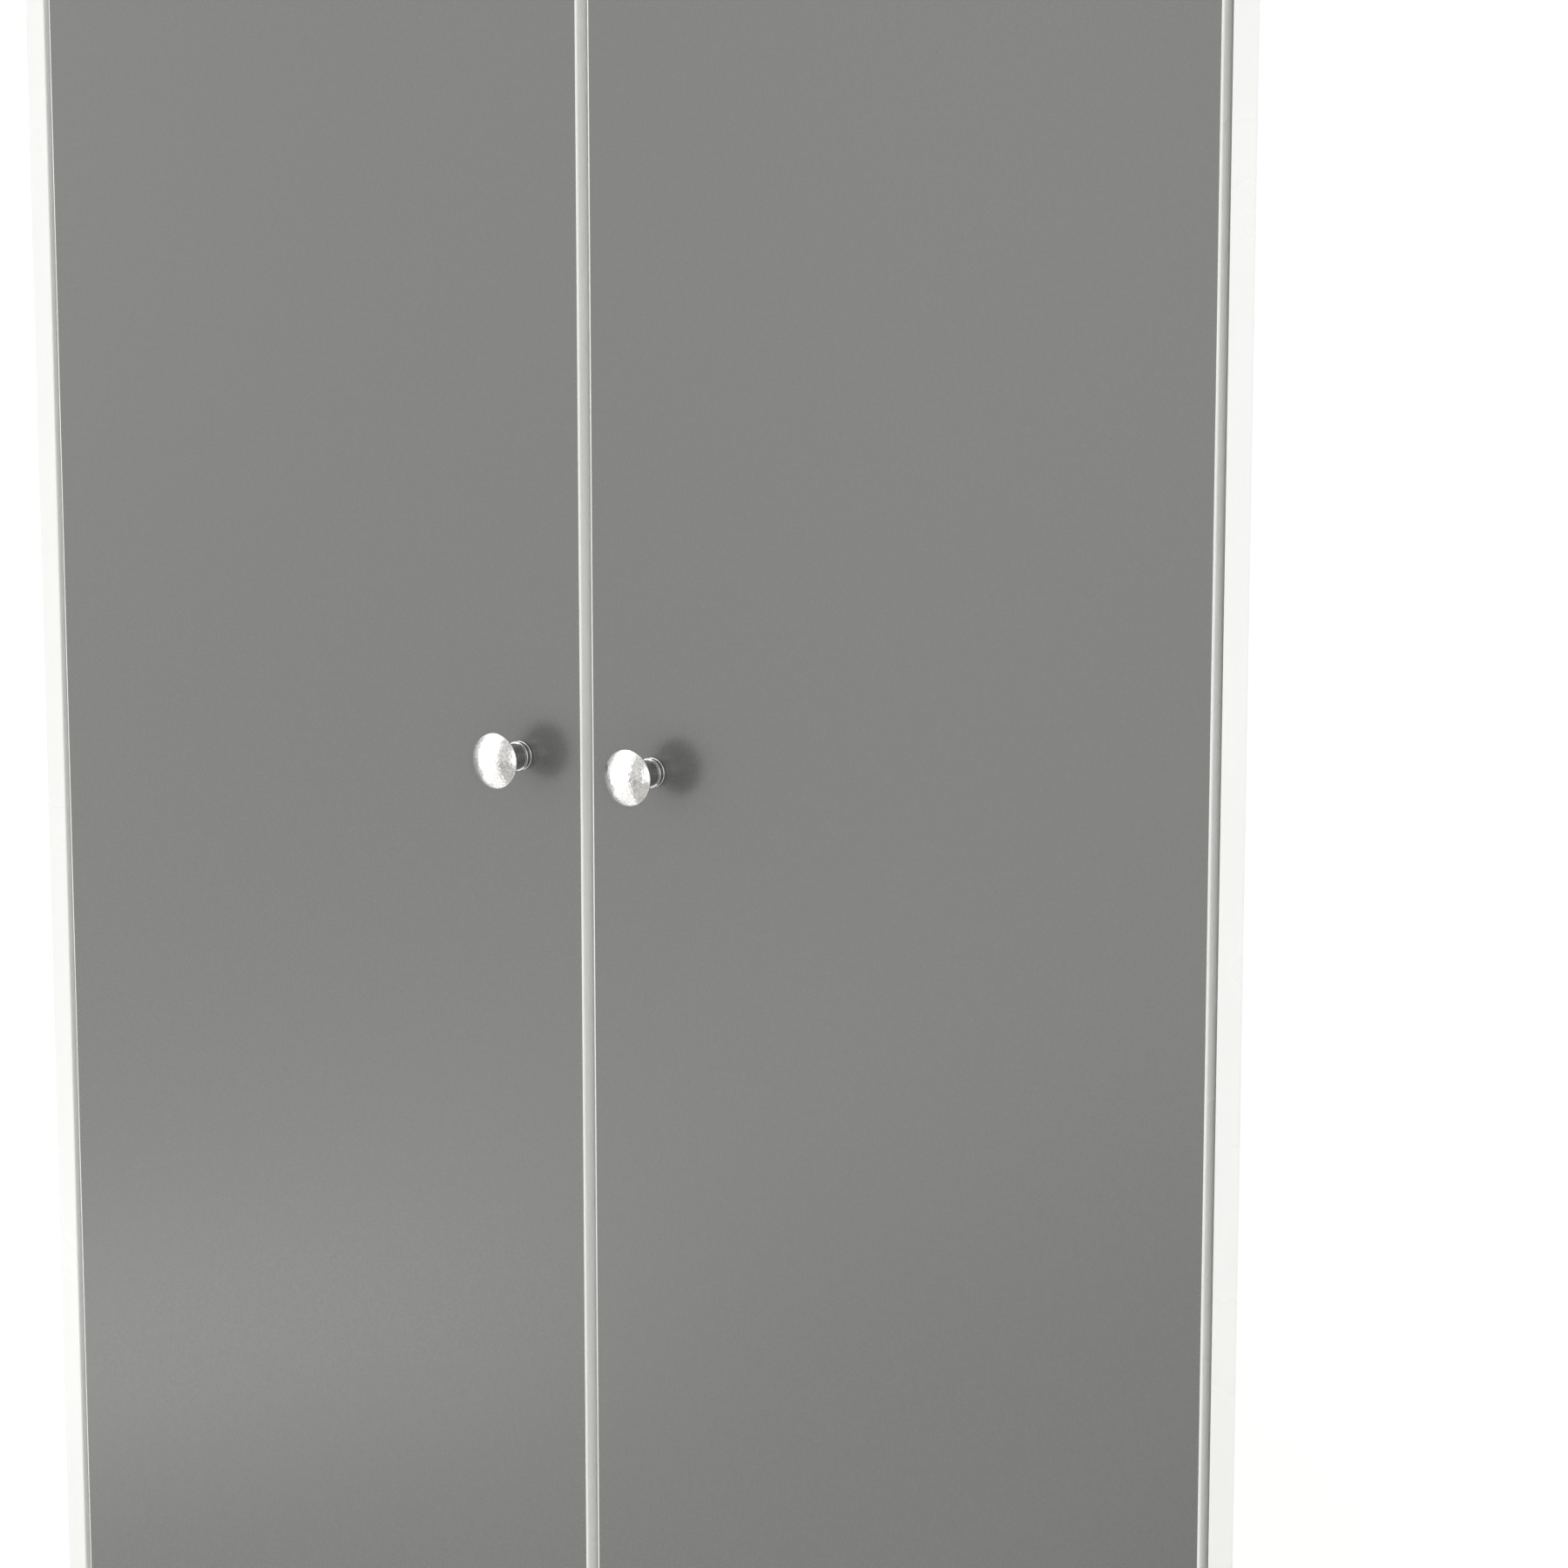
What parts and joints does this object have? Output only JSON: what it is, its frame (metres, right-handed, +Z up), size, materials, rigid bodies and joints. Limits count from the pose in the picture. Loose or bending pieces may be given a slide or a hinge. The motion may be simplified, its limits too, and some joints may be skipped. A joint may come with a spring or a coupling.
{
  "type": "armoire",
  "caption": "Free-standing armoire with two inset doors on top and bottom pivots, round knobs, a hanging bay, adjustable shelves and a hat shelf.",
  "frame": {"origin": "on the floor, under the middle of the whole armoire with its knobs and back strip", "axes": "+Z up, front towards -Y, +X to the right as seen from the front"},
  "size_m": [0.9, 0.5864, 1.85],
  "materials": {
    "white_board": "melamine-faced chipboard, white satin",
    "white_band": "white ABS edge band, smooth",
    "grey_laminate": "mid-grey high-pressure laminate, semi-gloss",
    "white_hardboard": "white painted hardboard, textured",
    "white_plastic": "moulded white nylon",
    "hammered_nickel": "nickel-plated, lightly hammered face",
    "polished_chrome": "polished chrome plate",
    "zinc_plated_steel": "bright zinc plate",
    "hinge_steel": "nickel-plated stamped steel",
    "cam_zinc": "die-cast zinc",
    "beech": "turned beech, plain",
    "magnet_black": "sintered ferrite"
  },
  "bodies": {
    "carcass": {"side_panel_left": "white_board", "side_panel_right": "white_board", "side_band_left": "white_band", "side_band_right": "white_band", "top_panel": "white_board", "top_band": "white_band", "bottom_panel": "white_board", "bottom_band": "white_band", "hat_shelf": "white_board", "divider": "white_board", "inner_bands": "white_band", "plinth_front": "white_board", "plinth_rear": "white_board", "shelf_lower": "white_board", "shelf_middle": "white_board", "shelf_upper": "white_board", "shelf_pins": "zinc_plated_steel", "back_sheet_left": "white_hardboard", "back_sheet_right": "white_hardboard", "back_joint_strip": "white_plastic", "back_nails": "zinc_plated_steel", "hanging_rail": "polished_chrome", "rail_socket_left": "polished_chrome", "rail_socket_right": "polished_chrome", "rail_socket_screws": "zinc_plated_steel", "cam_locks": "cam_zinc", "cam_bolts": "zinc_plated_steel", "dowels": "beech", "divider_screws": "zinc_plated_steel", "glides": "white_plastic", "wall_brackets": "zinc_plated_steel", "wall_bracket_screws": "zinc_plated_steel", "pivot_leaves": "hinge_steel", "pivot_pins": "hinge_steel", "pivot_washers": "white_plastic", "pivot_leaf_screws": "zinc_plated_steel", "magnetic_catches": "white_plastic", "catch_magnets": "magnet_black", "catch_screws": "zinc_plated_steel"},
    "left_door": {"left_door_panel": "white_board", "left_door_face": "grey_laminate", "left_door_edging": "white_band", "left_door_knob": "hammered_nickel", "left_door_knob_collar": "polished_chrome", "left_door_knob_screw": "zinc_plated_steel", "left_door_leaves": "hinge_steel", "left_door_bushes": "white_plastic", "left_door_screws": "zinc_plated_steel", "left_door_strike": "zinc_plated_steel"},
    "right_door": {"right_door_panel": "white_board", "right_door_face": "grey_laminate", "right_door_edging": "white_band", "right_door_knob": "hammered_nickel", "right_door_knob_collar": "polished_chrome", "right_door_knob_screw": "zinc_plated_steel", "right_door_leaves": "hinge_steel", "right_door_bushes": "white_plastic", "right_door_screws": "zinc_plated_steel", "right_door_strike": "zinc_plated_steel"}
  },
  "joints": [
    {"name": "left_door_hinge", "type": "hinge", "parent": "carcass", "child": "left_door", "pos_m": [-0.421, -0.2537, 0.9], "axis": [0, 0, -1], "range_deg": [0, 105]},
    {"name": "right_door_hinge", "type": "hinge", "parent": "carcass", "child": "right_door", "pos_m": [0.421, -0.2537, 0.9], "axis": [0, 0, 1], "range_deg": [0, 105]}
  ]
}
